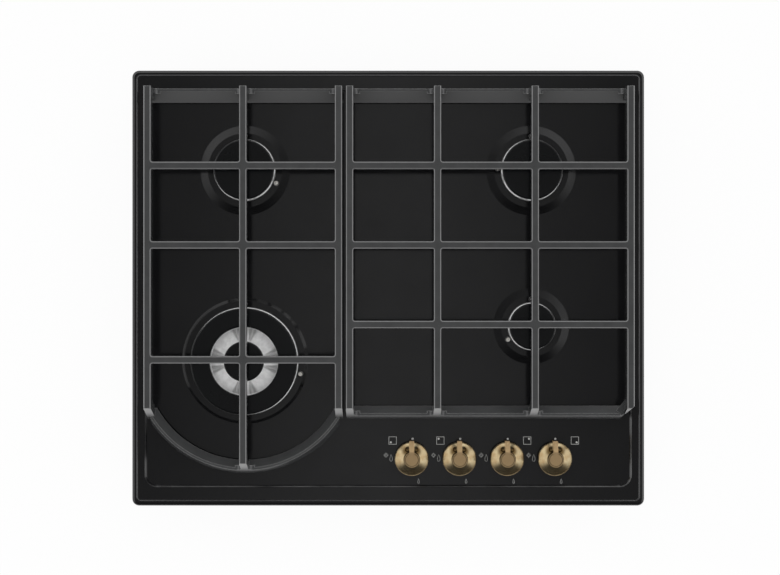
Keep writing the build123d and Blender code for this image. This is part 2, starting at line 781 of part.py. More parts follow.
# ---------------------------------------------------------------- knob
def make_knob(x):
    """A turned knob: skirt, hollowed flank, boss with a groove, pointer bar and two pockets."""
    shoulder = knob_height - knob_boss_rise
    rim = (knob_radius - knob_rim_step, knob_skirt + knob_rim_step)
    foot = (knob_boss_radius + knob_boss_fillet, shoulder)
    flank = Spline(rim, (knob_radius - knob_flank_run, knob_skirt + knob_flank_rise), foot)
    outline = Polyline(
        foot, (knob_boss_radius, shoulder), (knob_boss_radius, knob_height), (0, knob_height),
        (0, 0), (knob_radius, 0), (knob_radius, knob_skirt), rim,
    )
    body = revolve(Plane.XZ * make_face(outline + flank), Axis.Z)
    tip = knob_radius + pointer_reach
    bar = block(-pointer_width / 2, pointer_width / 2, 0, tip, 0, knob_height)
    side_view = Polyline(
        (0, 0), (tip, 0), (tip, pointer_tip_height), (knob_boss_radius, knob_height),
        (0, knob_height), close=True,
    )
    wedge = extrude(Plane.YZ * make_face(side_view), pointer_width, both=True)
    pocket_x = pointer_width / 2 + pocket_width / 2
    pocket_y = knob_boss_radius + pocket_width
    for side in (-1, 1):
        body = body - Pos(side * pocket_x, pocket_y, shoulder + pocket_lift) * Sphere(pocket_radius)
    body = body + (bar & wedge)
    groove_out = knob_boss_radius - knob_groove
    groove = post(0, 0, knob_height - knob_groove_depth, knob_height, groove_out)
    groove = groove - post(0, 0, 0, knob_height, groove_out - knob_groove)
    groove = groove - block(-pointer_width / 2, pointer_width / 2, 0, knob_radius, 0, knob_height)
    body = body - groove
    hollow = post(0, 0, 0, knob_skirt + knob_rim_step - knob_wall, knob_radius - knob_wall)
    hollow = hollow - post(0, 0, knob_hub_lift, knob_height, knob_hub_radius)
    socket_depth = spindle_top_z - knob_z
    socket = extrude(d_section(spindle_radius + spindle_gap, spindle_flat + spindle_gap), socket_depth)
    return Pos(x, knob_y, knob_z) * (body - hollow - socket)


# ---------------------------------------------------------------- gas supply
supply_y = box_rear_y - box_sheet - inlet_socket_length


def make_gas_rail():
    """The steel tube that feeds the taps, with two feet on the bottom box."""
    x0 = knob_places[0] - tap_width / 2 - rail_foot
    x1 = knob_places[-1] + tap_width / 2 + rail_end
    rail = rod_along_x(rail_y, rail_z, x0, x1, rail_radius)
    for x in (x0 + rail_foot / 2, x1 - rail_foot / 2):
        foot = block(
            x - rail_foot_sheet / 2, x + rail_foot_sheet / 2,
            rail_y - rail_foot / 2, rail_y + rail_foot / 2,
            box_sheet, rail_z,
        )
        rail = rail + foot
    return rail - rod_along_x(rail_y, rail_z, x0 + rail_wall, x1, rail_radius - rail_wall)


def make_supply_pipe():
    """The pipe from the rail's end to the inlet fitting."""
    x1 = knob_places[-1] + tap_width / 2 + rail_end
    points = [(x1, rail_y, rail_z), (inlet_x, rail_y, rail_z), (inlet_x, supply_y, rail_z)]
    return tube_along(points, tube_bend, rail_radius, rail_wall)


def make_gas_inlet():
    """The threaded fitting through the bottom box's rear wall."""
    inside = box_rear_y - box_sheet
    nut_end = box_rear_y + inlet_nut_length
    thread_end = nut_end + inlet_thread_length
    fitting = rod_along_y(inlet_x, rail_z, supply_y, inside, inlet_nut_radius)
    fitting = fitting + rod_along_y(inlet_x, rail_z, inside, thread_end, inlet_thread_radius)
    nut = extrude(RegularPolygon(inlet_nut_radius, 6), inlet_nut_length)
    fitting = fitting + Pos(inlet_x, nut_end, rail_z) * Rot(90, 0, 0) * nut
    return fitting - rod_along_y(inlet_x, rail_z, supply_y, thread_end, inlet_bore)


def tube_routes():
    """Routes of the four burner tubes, from each tap's outlet to its cup's inlet."""
    front_left, rear_left, rear_right, front_right = burners
    z = tap_outlet_z
    x1, x2, x3, x4 = knob_places
    lane = (x2 + x3) / 2
    left_end = front_left.x + cup_radius(front_left) + inlet_length
    rear_end = rear_left.x + cup_radius(rear_left) + inlet_length
    right_end = rear_right.y - cup_radius(rear_right) - inlet_length
    small_end = front_right.y - cup_radius(front_right) - inlet_length
    turn_y = tube_start_y + tube_step
    return [
        [(x1, tube_start_y, z), (x1, front_left.y, z), (left_end, front_left.y, z)],
        [(x2, tube_start_y, z), (x2, rear_left.y, z), (rear_end, rear_left.y, z)],
        [(x3, tube_start_y, z), (x3, turn_y, z), (lane, turn_y, z),
         (lane, right_end - tube_step, z), (rear_right.x, right_end - tube_step, z),
         (rear_right.x, right_end, z)],
        [(x4, tube_start_y, z), (x4, turn_y, z), (front_right.x, turn_y, z),
         (front_right.x, small_end, z)],
    ]


def make_burner_tubes():
    tubes = []
    for route in tube_routes():
        tubes.append(tube_along(route, tube_bend, tube_radius, tube_wall))
    return tubes


# ---------------------------------------------------------------- ignition
module_left = module_x - module_width / 2
module_right = module_x + module_width / 2
module_front = sense_place(burners[0])[1] + module_gap
module_rear = module_front + module_depth
module_y = (module_front + module_rear) / 2


def make_ignition_module():
    """The spark generator, a closed moulded box on the bottom box's floor."""
    case = block(
        module_left, module_right, module_front, module_rear, box_sheet, box_sheet + module_height
    )
    upright = case.edges().filter_by(Axis.Z)
    return fillet(upright, module_round)


def make_spark_leads():
    """One lead from the module up to each electrode's pin."""
    step = module_depth / 4
    leads = []
    starts = {
        "front_left": (module_left, module_y - step), "rear_left": (module_left, module_y + step),
        "rear_right": (module_right, module_y + step), "front_right": (module_right, module_y - step),
    }
    for burner in burners:
        x0, y0 = starts[burner.name]
        x1, y1 = spark_place(burner)
        points = [
            (x0, y0, spark_lead_z), (x1, y0, spark_lead_z), (x1, y1, spark_lead_z), (x1, y1, pin_low_z)
        ]
        leads.append(tube_along(points, lead_bend, spark_lead_radius))
    return leads


def make_thermocouple_leads():
    """One copper lead from each tap's magnet up to its burner's thermocouple."""
    start_y = knob_y + magnet_radius + lead_gap
    leads = []
    for x0, burner in zip(knob_places, burners):
        x1, y1 = sense_place(burner)
        points = [(x0, start_y, sense_lead_z)]
        if burner.name == "rear_right":
            step_y = start_y + lead_step
            lane = x0 - lead_lane
            points = points + [(x0, step_y, sense_lead_z), (lane, step_y, sense_lead_z)]
            x0 = lane
        points = points + [
            (x0, y1, sense_lead_z), (x1, y1, sense_lead_z), (x1, y1, thermocouple_low_z)
        ]
        leads.append(tube_along(points, lead_bend, sense_lead_radius))
    return leads


def make_switch_harness():
    """The lead that joins the taps' switches and runs to the module."""
    y0 = tap_front_y - switch_depth - harness_radius - harness_gap
    x0 = knob_places[-1] + switch_width / 2
    x1 = knob_places[0] - tap_width
    points = [(x0, y0, harness_z), (x1, y0, harness_z), (x1, module_front, harness_z)]
    return tube_along(points, lead_bend, harness_radius)


def make_cable_gland():
    """The moulded gland for the mains lead in the rear wall."""
    outside = box_rear_y
    inside = box_rear_y - box_sheet - gland_length
    gland = rod_along_y(gland_x, gland_z, outside, outside + gland_flange, gland_radius)
    gland = gland + rod_along_y(gland_x, gland_z, inside, outside, gland_neck_radius)
    return gland - rod_along_y(gland_x, gland_z, inside, outside + gland_flange, gland_bore)


def make_supply_lead():
    """The inner lead from the gland to the module."""
    inside = box_rear_y - box_sheet - gland_length
    return rod_along_y(gland_x, gland_z, module_rear, inside, gland_bore)


# ---------------------------------------------------------------- worktop clamps
def make_clamps():
    """Four bent brackets on the bottom box's front and rear walls."""
    clamps = []
    screws = []
    for x in (-clamp_x, clamp_x):
        for side in (-1, 1):
            wall = side * box_depth / 2
            out = wall + side * clamp_sheet
            tip = side * (cutout_depth / 2 + clamp_grip)
            low = clamp_floor_z
            outline = Polyline(
                (wall, low), (tip, low), (tip, low + clamp_tip), (tip - side * clamp_sheet, low + clamp_tip),
                (tip - side * clamp_sheet, low + clamp_sheet), (out, low + clamp_sheet),
                (out, low + clamp_leg), (wall, low + clamp_leg), close=True,
            )
            bracket = extrude(Plane.YZ * make_face(outline), clamp_width / 2, both=True)
            bracket = Pos(x, 0, 0) * bracket
            hole = rod_along_y(
                x, clamp_screw_z, -plate_depth, plate_depth, clamp_screw_radius + screw_gap
            )
            clamps.append(bracket - hole)
            start = min(out, out + side * clamp_head_height)
            head = rod_along_y(x, clamp_screw_z, start, start + clamp_head_height, clamp_head_radius)
            inner_end = out - side * clamp_screw_length
            shank = rod_along_y(
                x, clamp_screw_z, min(out, inner_end), max(out, inner_end), clamp_screw_radius
            )
            screws.append(head + shank)
    return clamps, screws


# ---------------------------------------------------------------- pan supports
left_axis_x = -burner_x + support_shift_x
right_axis_x = burner_x + support_shift_x
rear_cross_y = rear_burner_y + support_shift_y
arc_y = triple_burner_y + support_shift_y
small_cross_y = small_burner_y + support_shift_y
left_bars = [left_axis_x - bar_pitch, left_axis_x, left_axis_x + bar_pitch]
right_bars = [
    left_bars[-1] + support_gap, right_axis_x - right_inner_pitch, right_axis_x, right_axis_x + bar_pitch
]
left_crosses = [arc_y, middle_cross_y, rear_cross_y]
right_crosses = [small_cross_y, middle_cross_y, rear_cross_y]
slope_ratio = support_front_slope / (support_top - support_foot)
beyond = 60.0  # cutters run this far past the casting


def setback(z):
    """How far the sloping front has gone back at a height."""
    return slope_ratio * (z - support_low_z)


def straight_form(x0, x1, inset, z0, z1):
    """A filled form with an upright rear and a sloping front, set in at both by inset."""
    front = support_front_y + inset
    rear = support_rear_y - inset
    outline = Polyline(
        (front + setback(z0), z0), (rear, z0), (rear, z1), (front + setback(z1), z1), close=True
    )
    form = extrude(Plane.YZ * make_face(outline), (x1 - x0) / 2, both=True)
    return Pos((x0 + x1) / 2, 0, 0) * form


def arc_form(inset, z0, z1):
    """The bulge of the left support's front, a sloping arc round the triple crown."""
    reach = bar_pitch - bar_width / 2
    radius = support_arc_radius - inset
    drum = Pos(left_axis_x, arc_y, (z0 + z1) / 2) * Cone(radius - setback(z0), radius - setback(z1), z1 - z0)
    return drum & block(left_axis_x - reach, left_axis_x + reach, arc_y - 2 * radius, arc_y, z0, z1)


def windows(bars, crosses):
    """The openings between the bars, with small rounds in their corners."""
    edges_y = [support_front_y - 2 * beyond] + crosses + [support_rear_y + beyond]
    cuts = []
    for x0, x1 in zip(bars, bars[1:]):
        for y0, y1 in zip(edges_y, edges_y[1:]):
            sketch = RectangleRounded(x1 - x0 - bar_width, y1 - y0 - bar_width, bar_corner)
            cuts.append(Pos((x0 + x1) / 2, (y0 + y1) / 2, tray_z) * extrude(sketch, support_top + beyond))
    return cuts


def round_bar_tops(casting, crosses):
    """Rounds the bars' long upper edges, and leaves the edges across their ends."""
    front_limit = min(crosses) - bar_width - bar_corner
    rear_limit = max(crosses) + bar_width + bar_corner
    chosen = []
    for edge in casting.edges().group_by(Axis.Z)[-1]:
        middle = edge.center()
        run = edge @ 1 - edge @ 0
        is_end = middle.Y < front_limit or middle.Y > rear_limit
        if is_end and abs(run.X) > abs(run.Y) / 2:
            continue
        chosen.append(edge)
    return fillet(chosen, bar_round)


def band_profile(face, low, inward):
    """A low band's section: upright or sloping outside, a narrow top, and a slope inside."""
    top = low + band_height
    back = setback(top) if inward > 0 else 0.0
    return [
        (face, low), (face + inward * back, top), (face + inward * (back + band_edge), top),
        (face + inward * band_width, low + band_inner_height), (face + inward * band_width, low),
    ]


def straight_band(x0, x1, face, inward):
    """A straight low band along the front or rear."""
    section = Plane.YZ * make_face(Polyline(*band_profile(face, support_low_z, inward), close=True))
    return Pos((x0 + x1) / 2, 0, 0) * extrude(section, (x1 - x0) / 2, both=True)


def gussets(bars, form, face, inward):
    """Hollow webs in the corners between a band's top and both sides of each leg."""
    top = support_low_z + band_height
    back = setback(top) if inward > 0 else 0.0
    inner = face + inward * (back + gusset_depth)
    webs = []
    for x in bars:
        for side in (-1, 1):
            near = x + side * (bar_width / 2 - cut_over)
            far = x + side * (bar_width / 2 + gusset_round)
            web = block(
                min(near, far), max(near, far), min(face, inner), max(face, inner),
                support_low_z, top + gusset_round,
            )
            hollow = rod_along_y(far, top + gusset_round, min(face, inner), max(face, inner), gusset_round)
            webs.append((web - hollow) & form)
    return webs


def arc_band():
    """The low band round the front of the left support."""
    low = support_low_z
    top = low + band_height
    radius = support_arc_radius
    ring = turned([
        (radius, low), (radius - setback(top), top), (radius - setback(top) - band_edge, top),
        (radius - band_width, low + band_inner_height), (radius - band_width, low),
    ], left_axis_x, arc_y)
    return ring & block(
        left_bars[0], left_bars[-1], arc_y - 2 * radius, support_front_y + leg_depth, low, top
    )


def legs_void(x0, x1):
    """The space under the bars between the legs, rounded where the legs meet the bars."""
    void = straight_form(x0 - beyond, x1 + beyond, leg_depth, support_low_z - cut_over, bar_under_z)
    upper = void.edges().group_by(Axis.Z)[-1].filter_by(Axis.X)
    return fillet(upper, leg_round)


def make_left_support():
    """The left casting, with two bays and an arc front."""
    x0 = left_bars[0] - bar_width / 2
    x1 = left_bars[-1] + bar_width / 2
    casting = straight_form(x0, x1, 0.0, support_low_z, support_top_z)
    casting = casting + arc_form(0.0, support_low_z, support_top_z)
    casting = casting - windows(left_bars, left_crosses)
    casting = round_bar_tops(casting, left_crosses)
    casting = casting - legs_void(x0, x1)
    casting = casting - arc_form(leg_depth, support_low_z - cut_over, bar_under_z)
    casting = casting + straight_band(x0, x1, support_rear_y, -1) + arc_band()
    rear_form = straight_form(x0, x1, 0.0, support_low_z, support_top_z)
    casting = casting + gussets(left_bars, rear_form, support_rear_y, -1)
    arc_front = arc_form(0.0, support_low_z, support_top_z)
    return casting + gussets(left_bars[1:2], arc_front, arc_y - support_arc_radius, 1)


def make_right_support():
    """The right casting, with three bays, a straight front and one cut corner."""
    x0 = right_bars[0] - bar_width / 2
    x1 = right_bars[-1] + bar_width / 2
    form = straight_form(x0, x1, 0.0, support_low_z, support_top_z)
    casting = form - windows(right_bars, right_crosses)
    casting = round_bar_tops(casting, right_crosses)
    casting = casting - legs_void(x0, x1)
    casting = casting + straight_band(x0, x1, support_rear_y, -1)
    casting = casting + straight_band(x0, x1, support_front_y, 1)
    casting = casting + gussets(right_bars, form, support_rear_y, -1)
    casting = casting + gussets(right_bars[:-1], form, support_front_y, 1)
    return casting - corner_cut(x1) + corner_leg(x1)


def corner_cut(x1):
    """The leaning cut across the right support's outer front corner."""
    size = 2 * beyond
    low = support_low_z
    outline = Polyline(
        (0, low), (corner_cut_lean, support_top_z), (-size, support_top_z), (-size, low), close=True
    )
    wedge = extrude(Plane.YZ * make_face(outline), size, both=True)
    turn = Pos(x1, support_front_y + corner_cut_size, 0) * Rot(0, 0, 45)
    return turn * wedge


def corner_leg(x1):
    """The leg under the outer bar's front end, which turns to stand along the cut corner."""
    front = support_front_y
    high = support_top_z - 2 * bar_round
    back = front + setback(high) + cut_over
    x0 = x1 - bar_width
    foot = Polyline(
        (x1 - corner_cut_size, front), (x1, front + corner_cut_size),
        (x1 - corner_leg_width, front + corner_cut_size + corner_leg_width),
        (x1 - corner_cut_size - corner_leg_width, front + corner_leg_width), close=True,
    )
    head = Polyline(
        (x0, back), (x1, back + corner_leg_top), (x1, back + leg_depth), (x0, back + leg_depth), close=True
    )
    return loft([Pos(0, 0, support_low_z) * make_face(foot), Pos(0, 0, high) * make_face(head)], ruled=True)


def pad_places():
    """Where the rubber pads stand, left support first."""
    rear_y = support_rear_y - pad_inset
    front_y = support_front_y + pad_inset
    reach = support_arc_radius - pad_inset
    left = [(left_bars[0] + pad_side_inset, rear_y), (left_bars[-1], rear_y)]
    for side in (-1, 1):
        turn = math.radians(arc_pad_angle)
        left.append((left_axis_x + side * reach * math.sin(turn), arc_y - reach * math.cos(turn)))
    right = [(right_bars[0], rear_y), (right_bars[-1] - pad_side_inset, rear_y)]
    right += [(right_bars[0], front_y), (right_bars[-1] - corner_cut_size, front_y)]
    return left, right


def make_pads(places):
    """Rubber pads between a casting and the tray floor."""
    return [post(x, y, tray_z, support_low_z, pad_radius) for x, y in places]


# ---------------------------------------------------------------- writing the pieces
def write(name, shape):
    """Writes one piece, or a group of like pieces, to its own file."""
    if isinstance(shape, list):
        shape = Compound(children=[solid for piece in shape for solid in piece.solids()])
    export_step(shape, f"parts/{name}.step")


def main():
    write("top_plate", make_top_plate())
    write("worktop_seal", make_worktop_seal())
    write("bottom_box", make_bottom_box())
    for burner in burners:
        write(f"burner_cup_{burner.name}", make_burner_cup(burner))
        if burner.name == "front_left":
            write("flame_crown_front_left", make_triple_crown(burner))
            write("burner_cap_front_left_ring", make_ring_cap(burner))
            write("burner_cap_front_left_centre", make_centre_cap(burner))
        else:
            write(f"flame_crown_{burner.name}", make_crown(burner))
            write(f"burner_cap_{burner.name}", make_cap(burner))
    write("injectors", [make_injector(burner) for burner in burners])
    write("electrode_ceramics", [make_ceramic(burner) for burner in burners])
    write("electrode_pins", [make_electrode_pin(burner) for burner in burners])
    write("thermocouples", [make_thermocouple(burner) for burner in burners])
    for n, x in enumerate(knob_places, 1):
        write(f"tap_body_{n}", make_tap_body(x))
        write(f"tap_plug_{n}", make_tap_plug(x))
        write(f"tap_spindle_{n}", make_tap_spindle(x))
        write(f"tap_spring_{n}", make_tap_spring(x))
        write(f"knob_{n}", make_knob(x))
    write("tap_covers", [make_tap_cover(x) for x in knob_places])
    write("safety_magnets", [make_safety_magnet(x) for x in knob_places])
    write("ignition_switches", [make_ignition_switch(x) for x in knob_places])
    write("spindle_seals", [make_spindle_seal(x) for x in knob_places])
    write("gas_rail", make_gas_rail())
    write("supply_pipe", make_supply_pipe())
    write("gas_inlet", make_gas_inlet())
    write("burner_tubes", make_burner_tubes())
    write("ignition_module", make_ignition_module())
    write("spark_leads", make_spark_leads())
    write("thermocouple_leads", make_thermocouple_leads())
    write("switch_harness", make_switch_harness())
    write("cable_gland", make_cable_gland())
    write("supply_lead", make_supply_lead())
    clamps, screws = make_clamps()
    write("worktop_clamps", clamps)
    write("clamp_screws", screws)
    left_pads, right_pads = pad_places()
    write("pan_support_left", make_left_support())
    write("pan_support_right", make_right_support())
    write("support_pads_left", make_pads(left_pads))
    write("support_pads_right", make_pads(right_pads))


main()
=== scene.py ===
import math

import bmesh
import bpy
from mathutils import Matrix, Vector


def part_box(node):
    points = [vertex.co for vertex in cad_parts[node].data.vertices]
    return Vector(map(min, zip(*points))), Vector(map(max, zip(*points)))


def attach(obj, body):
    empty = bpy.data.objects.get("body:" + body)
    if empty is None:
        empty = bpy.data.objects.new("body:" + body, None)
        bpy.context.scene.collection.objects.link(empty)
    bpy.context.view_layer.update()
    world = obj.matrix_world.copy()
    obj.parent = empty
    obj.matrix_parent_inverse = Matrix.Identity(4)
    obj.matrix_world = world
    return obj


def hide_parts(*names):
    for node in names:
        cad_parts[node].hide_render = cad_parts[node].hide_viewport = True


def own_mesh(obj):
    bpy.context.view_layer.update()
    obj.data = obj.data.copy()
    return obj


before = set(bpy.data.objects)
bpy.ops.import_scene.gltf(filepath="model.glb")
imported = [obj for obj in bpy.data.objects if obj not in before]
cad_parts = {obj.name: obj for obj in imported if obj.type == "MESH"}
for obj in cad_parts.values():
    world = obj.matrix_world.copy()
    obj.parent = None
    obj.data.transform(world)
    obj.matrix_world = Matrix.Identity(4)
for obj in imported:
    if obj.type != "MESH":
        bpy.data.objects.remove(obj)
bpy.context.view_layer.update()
scene = bpy.context.scene
scene.view_settings.view_transform = "Standard"

# ---------------------------------------------------------------- bottom box
# The folded tray that hangs in the worktop's cut-out and closes the hob from below.
# It is zinc-coated sheet, with the pale spangle of the zinc bath still faintly in it.


def surface_of(finish):
    return finish.node_tree.nodes["Principled BSDF"].inputs


def new_finish(name, colour, roughness, metallic=0.0):
    """A plain finish, for the patterns below to vary."""
    finish = bpy.data.materials.new(name)
    finish.use_nodes = True
    surface = surface_of(finish)
    surface["Base Color"].default_value = (*colour, 1.0)
    surface["Roughness"].default_value = roughness
    surface["Metallic"].default_value = metallic
    return finish


def feed(tree, value, socket):
    """Links another node's output to a socket, or sets the socket to a number or colour."""
    if isinstance(value, bpy.types.NodeSocket):
        tree.links.new(value, socket)
    else:
        socket.default_value = value


def add_node(tree, kind, settings=None, **inputs):
    """A shader node with its settings made and its named inputs fed."""
    node = tree.nodes.new(f"ShaderNode{kind}")
    for setting, value in (settings or {}).items():
        setattr(node, setting, value)
    for label, value in inputs.items():
        feed(tree, value, node.inputs[label])
    return node


def calculate(tree, operation, *values):
    """The result of a maths node on numbers and other nodes' outputs."""
    node = add_node(tree, "Math", {"operation": operation})
    for value, socket in zip(values, node.inputs):
        feed(tree, value, socket)
    return node.outputs["Value"]


def calculate_vector(tree, operation, *values):
    """The same on vectors. A length, a distance and a dot product are numbers."""
    node = add_node(tree, "VectorMath", {"operation": operation})
    for value, socket in zip(values, node.inputs):
        feed(tree, value, socket)
    gives_number = operation in ("LENGTH", "DISTANCE", "DOT_PRODUCT")
    return node.outputs["Value" if gives_number else "Vector"]


def remap(tree, value, start, end, low=0.0, high=1.0, curve="SMOOTHSTEP"):
    """Goes from low to high while the value goes from start to end."""
    limits = {"From Min": start, "From Max": end, "To Min": low, "To Max": high}
    settings = {"interpolation_type": curve}
    return add_node(tree, "MapRange", settings, Value=value, **limits).outputs["Result"]


def place_on(finish, centre=(0.0, 0.0, 0.0), turn=(0.0, 0.0, 0.0)):
    """The object's own coordinates in metres, moved so that the centre is at zero, then turned."""
    tree = finish.node_tree
    own = add_node(tree, "TexCoord").outputs["Object"]
    moved = calculate_vector(tree, "SUBTRACT", own, centre)
    return add_node(tree, "Mapping", Vector=moved, Rotation=turn).outputs["Vector"]


def tint(finish, mask, colour):
    """Mixes the surface's colour, or what already feeds it, towards another where the mask is 1."""
    tree, target = finish.node_tree, surface_of(finish)["Base Color"]
    mix = add_node(tree, "Mix", {"data_type": "RGBA"}, Factor=mask)
    before, after, mixed = mix.inputs[6], mix.inputs[7], mix.outputs[2]  # its sockets for colours
    feed(tree, target.links[0].from_socket if target.is_linked else target.default_value, before)
    feed(tree, (*colour, 1.0), after)
    feed(tree, mixed, target)


def spread(finish, label, mask, low, high):
    """Feeds a socket of the surface from low, where the mask is 0, to high, where it is 1."""
    tree = finish.node_tree
    feed(tree, remap(tree, mask, 0.0, 1.0, low, high, "LINEAR"), surface_of(finish)[label])


def raise_relief(finish, height, depth, strength=1.0):
    """Adds a relief of a depth in metres to the surface, over any relief that it already has."""
    tree, target = finish.node_tree, surface_of(finish)["Normal"]
    relief = add_node(tree, "Bump", Height=height, Distance=depth, Strength=strength)
    if target.is_linked:
        feed(tree, target.links[0].from_socket, relief.inputs["Normal"])
    feed(tree, relief.outputs["Normal"], target)


def new_effect(name, numbers, results):
    """A shader group with a place, numbers with their defaults, and results, still unconnected."""
    group = bpy.data.node_groups.new(name, "ShaderNodeTree")
    sockets = group.interface
    sockets.new_socket("Place", in_out="INPUT", socket_type="NodeSocketVector")
    for label, value in numbers.items():
        socket = sockets.new_socket(label, in_out="INPUT", socket_type="NodeSocketFloat")
        socket.default_value = value
    for label in results:
        sockets.new_socket(label, in_out="OUTPUT", socket_type="NodeSocketFloat")
    given, result = group.nodes.new("NodeGroupInput"), group.nodes.new("NodeGroupOutput")
    return group, given.outputs, result.inputs


def apply_effect(finish, group, place, **numbers):
    """Puts an effect into a finish, and gives its results."""
    return add_node(finish.node_tree, "Group", {"node_tree": group}, Place=place, **numbers).outputs


def make_grain_group():
    """Fine uneven grain: cast skin, moulded plastic, foam, dust. Size is its width in metres."""
    group, given, result = new_effect("grain", {"Size": 0.001, "Contrast": 1.0}, ["Height", "Mask"])
    per_metre = calculate(group, "DIVIDE", 1.0, given["Size"])
    noise = add_node(group, "TexNoise", Vector=given["Place"], Scale=per_metre, Detail=4.0)
    middle = 0.5
    centred = calculate(group, "SUBTRACT", noise.outputs["Fac"], middle)
    mask = calculate(group, "MULTIPLY_ADD", centred, given["Contrast"], middle)
    mask.node.use_clamp = True
    feed(group, noise.outputs["Fac"], result["Height"])
    feed(group, mask, result["Mask"])
    return group


def dress(names, finish):
    """Gives solids of the model a finish."""
    for name in names:
        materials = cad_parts[name].data.materials
        materials.clear()
        materials.append(finish)


grain = make_grain_group()
spangles_per_metre = 95.0


def make_zinc():
    """Grains of zinc side by side, each with its own tone and gloss."""
    zinc = new_finish("zinc_sheet", colour=(0.42, 0.43, 0.44), roughness=0.46, metallic=0.85)
    tree, place = zinc.node_tree, place_on(zinc)
    spangle = add_node(tree, "TexVoronoi", Vector=place, Scale=spangles_per_metre, Randomness=0.9)
    tone = add_node(tree, "SeparateColor", Color=spangle.outputs["Color"]).outputs
    tint(zinc, tone["Red"], colour=(0.50, 0.51, 0.53))
    spread(zinc, "Roughness", tone["Green"], low=0.36, high=0.54)
    fine = apply_effect(zinc, grain, place, Size=0.0015)
    raise_relief(zinc, fine["Height"], depth=0.00003)
    return zinc


zinc_sheet = make_zinc()
dress(["bottom_box"], zinc_sheet)

# ---------------------------------------------------------------- worktop seal
# A strip of closed-cell foam, stuck under the plate's rim, which seals it to the worktop.
# It is charcoal grey, with the small open bubbles of its cut faces.

bubbles_per_metre = 1400.0


def make_foam():
    foam = new_finish("seal_foam", colour=(0.035, 0.035, 0.037), roughness=0.9)
    place = place_on(foam)
    bubbles = add_node(foam.node_tree, "TexVoronoi", Vector=place, Scale=bubbles_per_metre)
    raise_relief(foam, bubbles.outputs["Distance"], depth=0.0003, strength=0.8)
    blotch = apply_effect(foam, grain, place, Size=0.004, Contrast=2.0)
    tint(foam, blotch["Mask"], colour=(0.055, 0.055, 0.058))
    return foam


dress(["worktop_seal"], make_foam())

# ---------------------------------------------------------------- gas supply
# A turned brass fitting with a pipe thread goes through the rear wall, and a bright steel
# pipe joins it to the rail under the taps. The fitting is clamped by its hexagon.

brass_colour = (0.62, 0.47, 0.22)
thread_pitch = 0.0018
thread_depth = 0.0006
thread_scale = math.pi / (10.0 * thread_pitch)  # a wave node's period is pi / (10 * scale)
turn_to_rear = (math.pi / 2, 0.0, 0.0)  # lays the lathe's axis along Y
wavers_per_metre = 300.0


def shade(colour, share):
    """A darker or paler shade of a colour."""
    return tuple(channel * share for channel in colour)


def flatten(tree, place):
    """A place seen from above: its height is taken out."""
    return calculate_vector(tree, "MULTIPLY", place, (1.0, 1.0, 0.0))


def make_rings_group():
    """Lathe marks: fine rings round the Z axis, a little wavering. Pitch is in metres."""
    group, given, result = new_effect("lathe_rings", {"Pitch": 0.0004, "Waver": 0.3}, ["Height"])
    radius = calculate_vector(group, "LENGTH", flatten(group, given["Place"]))
    turns = calculate(group, "DIVIDE", radius, given["Pitch"])
    line = add_node(group, "TexNoise", {"noise_dimensions": "1D"}, W=turns, Scale=1.0, Detail=3.0)
    uneven = add_node(group, "TexNoise", Vector=given["Place"], Scale=wavers_per_metre)
    noises = {"A": line.outputs["Fac"], "B": uneven.outputs["Fac"]}
    height = add_node(group, "Mix", Factor=given["Waver"], **noises)
    feed(group, height.outputs["Result"], result["Height"])
    return group


lathe_rings = make_rings_group()


def make_turned_metal(name, colour, roughness, centre, pitch=0.0004, depth=0.00002, turn=(0, 0, 0)):
    """A metal turned on a lathe about an axis through the centre, with faint stains."""
    metal = new_finish(name, colour, roughness, metallic=1.0)
    place = place_on(metal, centre, turn)
    rings = apply_effect(metal, lathe_rings, place, Pitch=pitch)
    raise_relief(metal, rings["Height"], depth)
    stain = apply_effect(metal, grain, place, Size=0.006, Contrast=3.0)
    tint(metal, stain["Mask"], shade(colour, 0.8))
    spread(metal, "Roughness", stain["Mask"], low=roughness * 0.85, high=roughness * 1.25)
    return metal


def make_threaded_metal(name, colour, roughness, centre):
    """A turned metal with a thread cut along its length, towards the rear."""
    metal = make_turned_metal(name, colour, roughness, centre, turn=turn_to_rear)
    settings = {"bands_direction": "Y"}
    crest = add_node(metal.node_tree, "TexWave", settings, Vector=place_on(metal), Scale=thread_scale)
    raise_relief(metal, crest.outputs["Fac"], thread_depth)
    return metal


def make_drawn_metal(name, colour, roughness):
    """Drawn wire, tube or shaft: small blurred streaks and stains."""
    metal = new_finish(name, colour, roughness, metallic=1.0)
    place = place_on(metal)
    streak = apply_effect(metal, grain, place, Size=0.0012, Contrast=2.0)
    spread(metal, "Roughness", streak["Mask"], low=roughness * 0.8, high=roughness * 1.3)
    raise_relief(metal, streak["Height"], depth=0.00001)
    stain = apply_effect(metal, grain, place, Size=0.009, Contrast=3.0)
    tint(metal, stain["Mask"], shade(colour, 0.82))
    return metal


low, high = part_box("gas_inlet")
inlet_brass = make_threaded_metal("inlet_brass", brass_colour, roughness=0.28, centre=(low + high) / 2)
pipe_steel = make_drawn_metal("pipe_steel", colour=(0.50, 0.50, 0.51), roughness=0.32)
dress(["gas_inlet"], inlet_brass)
dress(["gas_rail", "supply_pipe"], pipe_steel)

# ---------------------------------------------------------------- taps
# Four die-cast taps clamp on the rail. In each, a brass plug turns with the steel spindle,
# which a coil spring lifts against a cover with two screws. A pushed knob presses the coil
# together. A copy of the coil's solid, attached to the plug's body, stands in for it.

taps = [1, 2, 3, 4]
weld_distance = 0.000001


